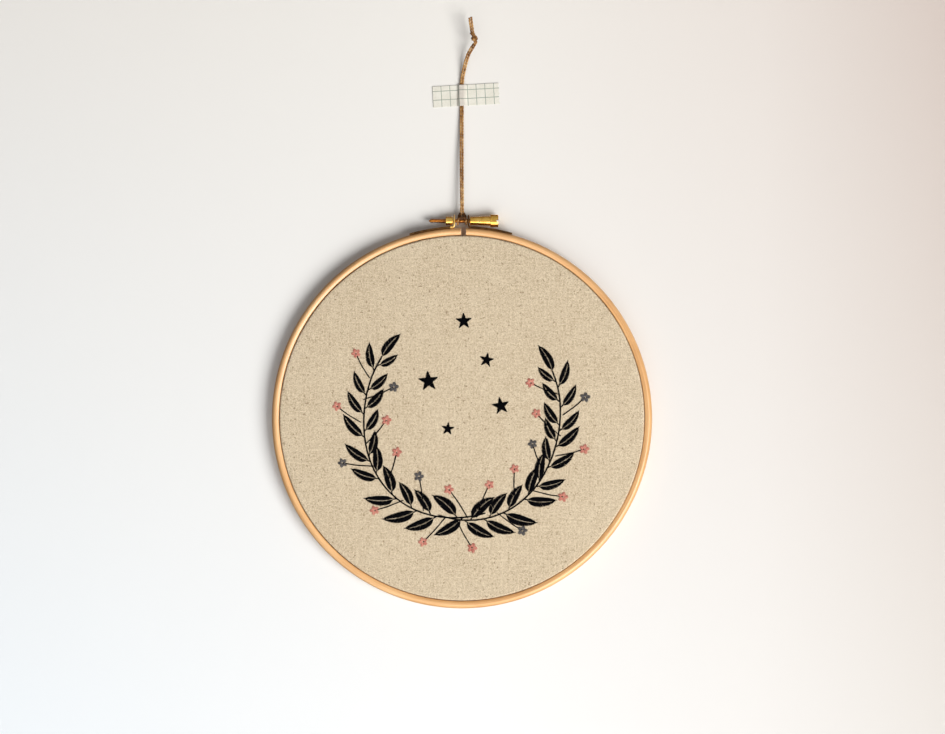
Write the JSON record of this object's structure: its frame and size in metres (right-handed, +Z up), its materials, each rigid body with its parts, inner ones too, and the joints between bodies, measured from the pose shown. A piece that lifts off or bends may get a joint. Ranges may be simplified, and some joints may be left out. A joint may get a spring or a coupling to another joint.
{
  "type": "hoop embroidery art with its wooden hoop and twine hanger",
  "caption": "Stitched linen stretched in a split wooden hoop with a brass tension screw, hung flat on a wall from a doubled jute twine under a strip of paper tape.",
  "frame": {"origin": "on the wall under the tape, on the line of the twine", "axes": "+X to the right as seen from the front, +Y into the wall that the hoop hangs on, +Z up along the twine; the wall is the plane Y = 0 and the whole part lies in front of it"},
  "size_m": [0.216, 0.0093, 0.3354],
  "materials": {
    "hoop_wood": "smooth, lightly sealed light wood",
    "linen": "plain woven natural linen",
    "brass": "polished",
    "jute": "twisted natural jute",
    "paper_tape": "matt, thin printed grid"
  },
  "bodies": {
    "hoop": {"outer_hoop": "hoop_wood", "inner_hoop": "hoop_wood", "linen": "linen", "lug_left": "brass", "lug_right": "brass", "nut": "brass", "twine_hitch": "jute", "twine_left": "jute", "twine_right": "jute", "twine_knot": "jute", "twine_end_left": "jute", "twine_end_right": "jute", "tape": "paper_tape"},
    "tension_screw": {"screw": "brass"}
  },
  "joints": [
    {"name": "screw_turn", "type": "hinge", "parent": "hoop", "child": "tension_screw", "pos_m": [0, -0.0045, -0.0714], "axis": [1, 0, 0], "range_deg": [-90, 360]}
  ]
}
